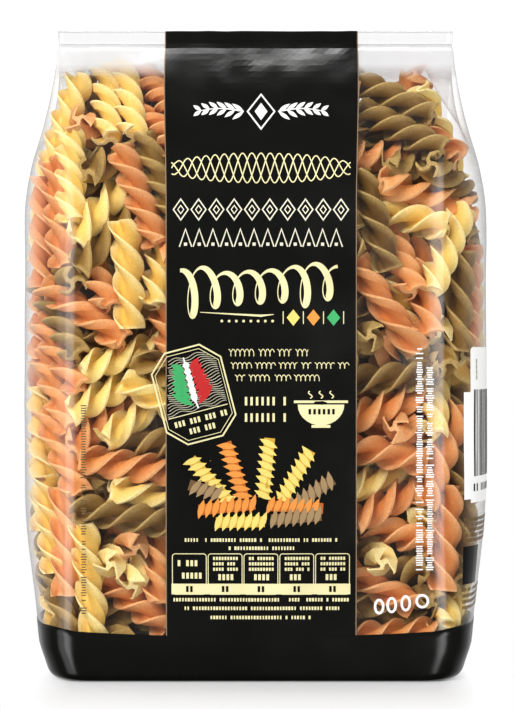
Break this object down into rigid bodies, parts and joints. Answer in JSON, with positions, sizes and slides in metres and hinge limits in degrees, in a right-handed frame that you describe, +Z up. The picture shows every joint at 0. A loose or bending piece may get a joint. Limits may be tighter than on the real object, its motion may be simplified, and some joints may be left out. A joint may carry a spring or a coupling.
{
  "type": "pasta packet",
  "caption": "Clear film packet of mixed-colour pasta spirals, with side gussets, a flat block bottom and a folded-over top.",
  "frame": {"origin": "middle of the flat base, on the surface the packet stands on", "axes": "+Z up, -Y out of the printed front panel, +Y out of the back with its lengthwise seal, +X to the right seen from the front"},
  "size_m": [0.154, 0.0678, 0.213],
  "materials": {
    "filled_film": "clear glossy film over yellow, orange and olive pasta",
    "clear_film": "clear glossy film",
    "black_print": "glossy black print on film",
    "cream_print": "pale gold print on film",
    "white_print": "white print on film",
    "yellow_pasta": "dry durum wheat pasta, satin",
    "orange_pasta": "dry tomato pasta, satin",
    "green_pasta": "dry spinach pasta, satin"
  },
  "bodies": {
    "root": {"pasta_packet": "filled_film"}
  },
  "joints": []
}
